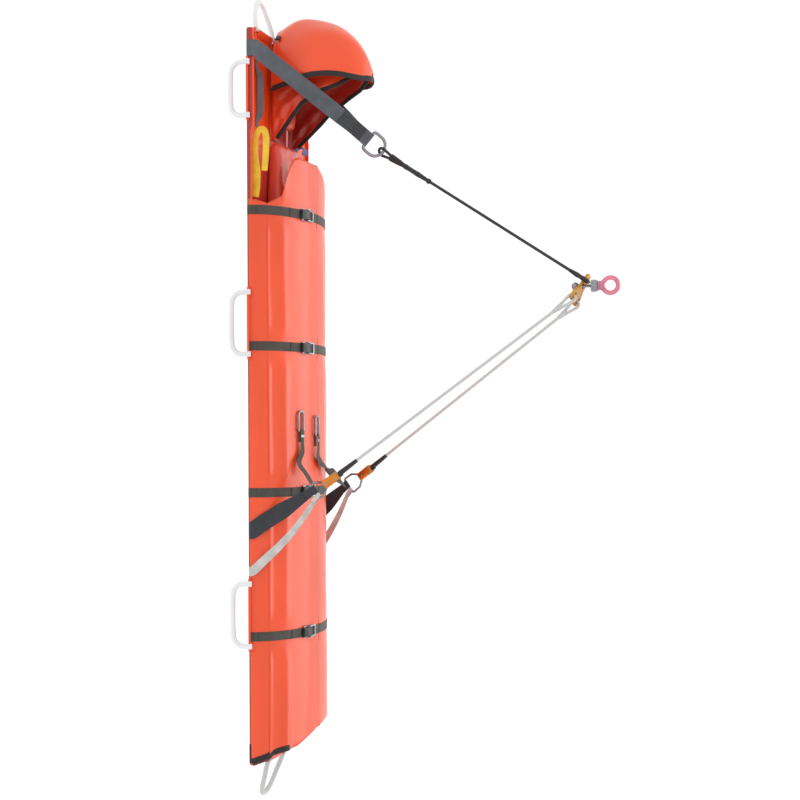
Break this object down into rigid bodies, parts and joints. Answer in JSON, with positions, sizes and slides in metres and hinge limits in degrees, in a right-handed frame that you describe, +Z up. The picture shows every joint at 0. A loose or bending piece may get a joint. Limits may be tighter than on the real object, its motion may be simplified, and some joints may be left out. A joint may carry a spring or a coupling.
{
  "type": "rescue stretcher",
  "caption": "Wrap-around cave rescue stretcher with fold-over flaps, cam-buckle straps, head hood, carry handles and a three-leg lifting bridle on a swivel.",
  "frame": {"origin": "the bearing point inside the lifting eye, where a hook or karabiner carries the load", "axes": "+Z up through the swivel, +X along the stretcher from the head end to the foot end, near (pictured) side at -Y"},
  "size_m": [2.227, 0.4794, 1.026],
  "materials": {
    "black": "woven, matt",
    "blackp": "satin",
    "board": "satin",
    "gold": "anodised",
    "grey": "woven, matt",
    "liner": "coated, satin",
    "orange": "anodised",
    "pale": "satin",
    "rose": "anodised",
    "skin": "coated, satin",
    "slate": "woven, matt",
    "steel": "bright",
    "webbing": "woven, matt",
    "yellow": "woven, matt"
  },
  "bodies": {
    "litter": {"adjuster_far": "orange", "adjuster_near": "orange", "base_panel": "skin", "chest_pad": "liner", "d_ring": "steel", "foot_rope_far": "grey", "foot_rope_near": "grey", "grey_sling": "grey", "harness_buckle": "steel", "harness_web": "slate", "head_cushion": "liner", "head_rope": "black", "head_sling": "slate", "hood_collar": "liner", "mid_sling": "black", "rigging_plate": "gold", "shoulder_strap_far": "yellow", "shoulder_strap_near": "yellow", "stiffener_far": "board", "stiffener_near": "board", "strap_1_under": "webbing", "strap_2_under": "webbing", "strap_3_under": "webbing", "strap_4_under": "webbing", "swivel_body": "steel", "tail_far": "webbing", "tail_near": "webbing"},
    "near_flap": {"buckle_1": "steel", "buckle_2": "steel", "buckle_3": "steel", "buckle_4": "steel", "flap_near": "skin", "strap_1_near": "webbing", "strap_2_near": "webbing", "strap_3_near": "webbing", "strap_4_near": "webbing", "tail_ring_far": "steel", "tail_ring_near": "steel"},
    "far_flap": {"flap_far": "skin", "strap_1_far": "webbing", "strap_2_far": "webbing", "strap_3_far": "webbing", "strap_4_far": "webbing"},
    "hood": {"hood_clip": "blackp", "hood_dome": "skin"},
    "swivel_eye": {"swivel_eye": "rose"},
    "cam_near": {"cam_near": "blackp"},
    "cam_far": {"cam_far": "blackp"},
    "buckle_lever_1": {"buckle_lever_1": "blackp"},
    "buckle_lever_2": {"buckle_lever_2": "blackp"},
    "buckle_lever_3": {"buckle_lever_3": "blackp"},
    "buckle_lever_4": {"buckle_lever_4": "blackp"},
    "handle_far_1": {"handle_far_1": "pale"},
    "handle_far_2": {"handle_far_2": "pale"},
    "handle_far_3": {"handle_far_3": "pale"},
    "handle_foot": {"handle_foot": "grey"},
    "handle_head": {"handle_head": "pale"},
    "handle_near_1": {"handle_near_1": "pale"},
    "handle_near_2": {"handle_near_2": "pale"},
    "handle_near_3": {"handle_near_3": "pale"}
  },
  "joints": [
    {"name": "near_flap_fold", "type": "hinge", "parent": "litter", "child": "near_flap", "pos_m": [0.5, -0.1965, -0.9078], "axis": [1, 0, 0], "range_deg": [0, 35], "deforming": ["tail_near", "tail_far"]},
    {"name": "far_flap_fold", "type": "hinge", "parent": "litter", "child": "far_flap", "pos_m": [0.5, 0.1965, -0.9078], "axis": [-1, 0, 0], "range_deg": [0, 35], "deforming": ["tail_far"]},
    {"name": "hood_tilt", "type": "hinge", "parent": "litter", "child": "hood", "pos_m": [-0.722, 0, -0.963], "axis": [0, -1, 0], "range_deg": [0, 20]},
    {"name": "swivel_turn", "type": "hinge", "parent": "litter", "child": "swivel_eye", "pos_m": [0, 0, -0.05], "axis": [0, 0, 1], "continuous": true},
    {"name": "buckle_lever_1_lift", "type": "hinge", "parent": "near_flap", "child": "buckle_lever_1", "pos_m": [-0.216, -0.07191, -0.84447], "axis": [-1, 0, 0], "range_deg": [0, 100]},
    {"name": "buckle_lever_2_lift", "type": "hinge", "parent": "near_flap", "child": "buckle_lever_2", "pos_m": [0.153, -0.07191, -0.84447], "axis": [-1, 0, 0], "range_deg": [0, 100]},
    {"name": "buckle_lever_3_lift", "type": "hinge", "parent": "near_flap", "child": "buckle_lever_3", "pos_m": [0.551, -0.07191, -0.84447], "axis": [-1, 0, 0], "range_deg": [0, 100]},
    {"name": "buckle_lever_4_lift", "type": "hinge", "parent": "near_flap", "child": "buckle_lever_4", "pos_m": [0.941, -0.07191, -0.84447], "axis": [-1, 0, 0], "range_deg": [0, 100]},
    {"name": "cam_far_release", "type": "hinge", "parent": "litter", "child": "cam_far", "pos_m": [0.50246, 0.16932, -0.74743], "axis": [-0.1113, 0.9815, 0.1556], "range_deg": [0, 25]},
    {"name": "cam_near_release", "type": "hinge", "parent": "litter", "child": "cam_near", "pos_m": [0.51487, -0.1696, -0.73149], "axis": [0.1049, 0.9852, -0.1358], "range_deg": [0, 25]},
    {"name": "handle_far_1_swing", "type": "hinge", "parent": "litter", "child": "handle_far_1", "pos_m": [-0.615, 0.2325, -0.9598], "axis": [1, 0, 0], "range_deg": [-12, 95]},
    {"name": "handle_far_2_swing", "type": "hinge", "parent": "litter", "child": "handle_far_2", "pos_m": [0.008, 0.2325, -0.9598], "axis": [1, 0, 0], "range_deg": [-12, 95]},
    {"name": "handle_far_3_swing", "type": "hinge", "parent": "litter", "child": "handle_far_3", "pos_m": [0.797, 0.2325, -0.9598], "axis": [1, 0, 0], "range_deg": [-12, 95]},
    {"name": "handle_foot_fold", "type": "hinge", "parent": "litter", "child": "handle_foot", "pos_m": [1.3005, -0.1, -0.9598], "axis": [0, 1, 0], "range_deg": [0, 75]},
    {"name": "handle_head_fold", "type": "hinge", "parent": "litter", "child": "handle_head", "pos_m": [-0.7205, -0.165, -0.9598], "axis": [0, -1, 0], "range_deg": [0, 75]},
    {"name": "handle_near_1_swing", "type": "hinge", "parent": "litter", "child": "handle_near_1", "pos_m": [-0.615, -0.2325, -0.9598], "axis": [-1, 0, 0], "range_deg": [-12, 95]},
    {"name": "handle_near_2_swing", "type": "hinge", "parent": "litter", "child": "handle_near_2", "pos_m": [0.008, -0.2325, -0.9598], "axis": [-1, 0, 0], "range_deg": [-12, 95]},
    {"name": "handle_near_3_swing", "type": "hinge", "parent": "litter", "child": "handle_near_3", "pos_m": [0.797, -0.2325, -0.9598], "axis": [-1, 0, 0], "range_deg": [-12, 95]}
  ]
}
